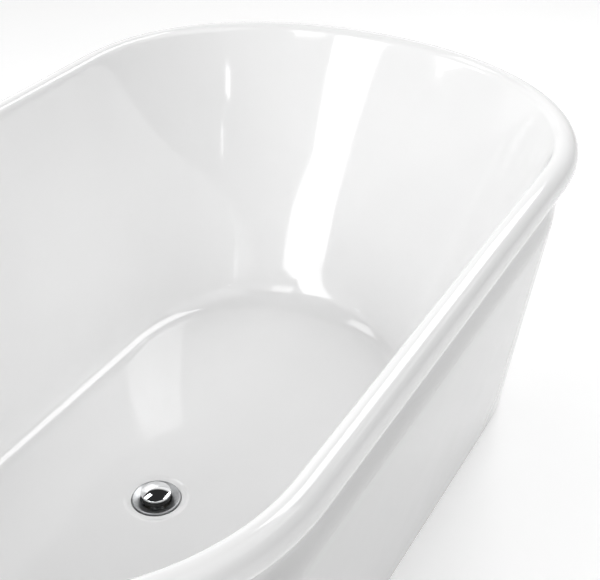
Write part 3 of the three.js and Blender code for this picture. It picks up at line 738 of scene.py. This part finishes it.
# The flange and the stopper's inner works get a darker grey than the chrome: painted shade for the flange's
# darker reflections, on top of a duller, rougher plate.
SATIN_SHADED = shaded_satin_chrome()
rebuild("waste_flange", waste_flange_mesh(), WASTE, finish=SATIN_SHADED)
rebuild("waste_top_gasket", ring_mesh(26, 35.5, 119.4, 120.2, 0.2), WASTE)
rebuild("waste_bottom_washer", ring_mesh(24.2, 34, 110.3, 113.7), WASTE)
rebuild("stopper_cap", stopper_cap_mesh(), WASTE)
rebuild("stopper_seal", stopper_seal_mesh(), WASTE)
rebuild("stopper_post", post_mesh(), WASTE, finish=SATIN_SHADED)
rebuild("stopper_cartridge", cartridge_mesh(), WASTE, finish=SATIN_SHADED)
rebuild("stopper_spring", spring_mesh(), WASTE)
rebuild("waste_tee", tee_mesh(), WASTE)
rebuild("waste_tailpiece", ring_mesh(18.2, 19.7, 10, 34, 0.4), WASTE)

rebuild("overflow_cover", overflow_cover_mesh(), OVERFLOW)
rebuild("overflow_screw", overflow_screw_mesh(), OVERFLOW)
rebuild("overflow_gasket", ring_mesh(27, 31.5, -8.9, -6.9), OVERFLOW)
rebuild("overflow_body", overflow_body_mesh(), OVERFLOW)
rebuild("overflow_pipe", pipe_mesh())

# The feet, two abreast. Each groove of a stud's thread is shaded smooth, as its edges are less sharp.
FOOT_X = {"head": 360, "middle": 60, "foot": -360}
FOOT_Y = {"left": 215, "right": -215}
THREAD_SHARP_DEGREES = 80

for place, x in FOOT_X.items():
    for side, y in FOOT_Y.items():
        spot = Matrix.Translation(Vector((x, y, 0)) * MM)
        rebuild(f"foot_pad_{place}_{side}", foot_pad_mesh(), spot)
        rebuild(f"foot_stud_{place}_{side}", foot_stud_mesh(), spot, THREAD_SHARP_DEGREES)

for node, part in frame["nodes"].items():
    if not part.hide_render:
        keep(node)


# ---------------------------------------------------------------- floor, light and camera

# The floor is a square plate just below the feet, with a faint glow of its own.
FLOOR_HALF_SIDE = 12
FLOOR_GAP = 0.0005
FLOOR_GLOW = 0.25

# The camera stands over the near corner of the foot end and looks down along the bath to its head.
CAMERA_PLACE = (-1.1248, -0.7830, 1.3410)
CAMERA_HEADING = 27.57
CAMERA_PITCH = 33.11
CAMERA_ROLL = 1.17
CAMERA_LENS = 71.18
SENSOR_WIDTH = 36

# Every softbox faces LIT_POINT. The studio fades to black towards DIM_SIDE, low on the near side, and
# almost to black round DARK_CEILING. Each fade has the two cosines to its direction that it runs between.
LIT_POINT = Vector((0, 0, 0.35))
DIM_SIDE = Vector((0.1, -0.8, -0.6))
DIM_FADE = (-0.3, 0.8)
DARK_CEILING = Vector((0.06, 0.04, 1.0))
DARK_FADE = (0.66, 0.74)
DARK_LEVEL = 0.03


def make_camera():
    """The camera, turned to its heading, tipped down by its pitch and then rolled."""
    heading, pitch, roll = (math.radians(v) for v in (CAMERA_HEADING, CAMERA_PITCH, CAMERA_ROLL))
    flat = Vector((math.cos(heading), math.sin(heading), 0))
    ahead = flat * math.cos(pitch) - Vector((0, 0, math.sin(pitch)))
    right = ahead.cross(Vector((0, 0, 1))).normalized()
    axes = Matrix((right, right.cross(ahead), -ahead)).transposed()
    data = bpy.data.cameras.new("camera")
    data.lens = CAMERA_LENS
    data.sensor_width = SENSOR_WIDTH
    camera = bpy.data.objects.new("camera", data)
    turn = axes @ Matrix.Rotation(roll, 3, "Z")
    camera.matrix_world = Matrix.Translation(CAMERA_PLACE) @ turn.to_4x4()
    bpy.context.scene.collection.objects.link(camera)
    bpy.context.scene.camera = camera


def make_floor():
    """A plain pale floor."""
    mesh = bmesh.new()
    bmesh.ops.create_grid(mesh, x_segments=1, y_segments=1, size=FLOOR_HALF_SIDE)
    made = bpy.data.meshes.new("floor")
    mesh.to_mesh(made)
    mesh.free()
    floor = bpy.data.objects.new("floor", made)
    floor.location.z = -FLOOR_GAP
    bpy.context.scene.collection.objects.link(floor)
    finish = Surface("floor")
    finish.colour(finish.noise(0.6), (0.90, 0.90, 0.90), (0.92, 0.92, 0.92))
    finish.rough(finish.noise(0.2), 0.7, 0.8)
    finish.shader.inputs["Emission Color"].default_value = (1, 1, 1, 1)
    finish.shader.inputs["Emission Strength"].default_value = FLOOR_GLOW
    made.materials.append(finish.material)


def softbox(name, azimuth, elevation, distance, size, radiance, roll=0.0):
    """A rectangular softbox that faces the bath from a direction, rolled about its own axis.

    Angles are in degrees, and a radiance of 1 is white.
    """
    data = bpy.data.lights.new(name, "AREA")
    data.shape = "RECTANGLE"
    data.size, data.size_y = size
    data.energy = radiance * math.pi * size[0] * size[1]
    lamp = bpy.data.objects.new(name, data)
    az, el = math.radians(azimuth), math.radians(elevation)
    away = Vector((math.cos(el) * math.cos(az), math.cos(el) * math.sin(az), math.sin(el)))
    turn = away.to_track_quat("Z", "Y").to_matrix() @ Matrix.Rotation(math.radians(roll), 3, "Z")
    lamp.matrix_world = Matrix.Translation(LIT_POINT + away * distance) @ turn.to_4x4()
    bpy.context.scene.collection.objects.link(lamp)


def make_world():
    """A pale studio that is dim low on the near side and dark overhead."""
    world = bpy.data.worlds.new("studio")
    world.use_nodes = True
    nodes, links = world.node_tree.nodes, world.node_tree.links
    direction = nodes.new("ShaderNodeTexCoord").outputs["Generated"]

    def fade(towards, limits, level):
        """A brightness that falls from 1 to a level towards a direction."""
        share = nodes.new("ShaderNodeVectorMath")
        share.operation = "DOT_PRODUCT"
        share.inputs[1].default_value = towards.normalized()
        links.new(direction, share.inputs[0])
        ramp = nodes.new("ShaderNodeMapRange")
        ramp.interpolation_type = "SMOOTHSTEP"
        ramp.inputs["From Min"].default_value, ramp.inputs["From Max"].default_value = limits
        ramp.inputs["To Min"].default_value = 1.0
        ramp.inputs["To Max"].default_value = level
        links.new(share.outputs["Value"], ramp.inputs["Value"])
        return ramp.outputs["Result"]

    product = nodes.new("ShaderNodeMath")
    product.operation = "MULTIPLY"
    links.new(fade(DIM_SIDE, DIM_FADE, 0.0), product.inputs[0])
    links.new(fade(DARK_CEILING, DARK_FADE, DARK_LEVEL), product.inputs[1])
    nodes["Background"].inputs["Color"].default_value = (1, 1, 1, 1)
    links.new(product.outputs["Value"], nodes["Background"].inputs["Strength"])
    bpy.context.scene.world = world
    bpy.context.scene.view_settings.view_transform = "Standard"


def make_light():
    """The softboxes: azimuth, elevation, distance, width and height, radiance, and roll if any."""
    # The bright strip mirrored in the head end's wall, in three pieces.
    softbox("strip_light", 165.6, 29.9, 2.97, (0.86, 1.9), 4.4, 28)
    softbox("strip_light_low", 183.0, 21.7, 3.01, (0.83, 0.22), 4.4, -18)
    softbox("strip_light_top", 183.9, 48.5, 2.71, (0.6, 0.75), 3.0)
    # The key light: the line along the near rim and the pale patch on the basin's floor.
    softbox("head_light", -13.0, 48.0, 3.4, (1.2, 2.0), 4.6, 20)
    # Soft fill on the near side.
    softbox("near_head_light", -40.0, 30.0, 3.4, (1.1, 0.4), 0.8)
    softbox("near_light", -90.0, 58.0, 3.2, (3.0, 1.8), 1.2)
    # Two small spots on the wall at +Y.
    softbox("camera_light_high", -124.5, 35.3, 2.18, (0.09, 0.13), 8.0)
    softbox("camera_light_low", -120.2, 28.2, 2.17, (0.05, 0.13), 5.0)
    # Crescents under the rim and fill from the far side.
    softbox("far_light", 115.0, 32.5, 2.77, (1.1, 0.4), 5.0)
    softbox("overhead_light", 74.3, 54.1, 2.84, (1.2, 0.5), 3.0)
    # A low window beyond the far side.
    softbox("window_light", 70.0, 10.0, 4.5, (4.0, 1.6), 0.4)


make_world()
make_camera()
make_floor()
make_light()

bpy.context.view_layer.update()
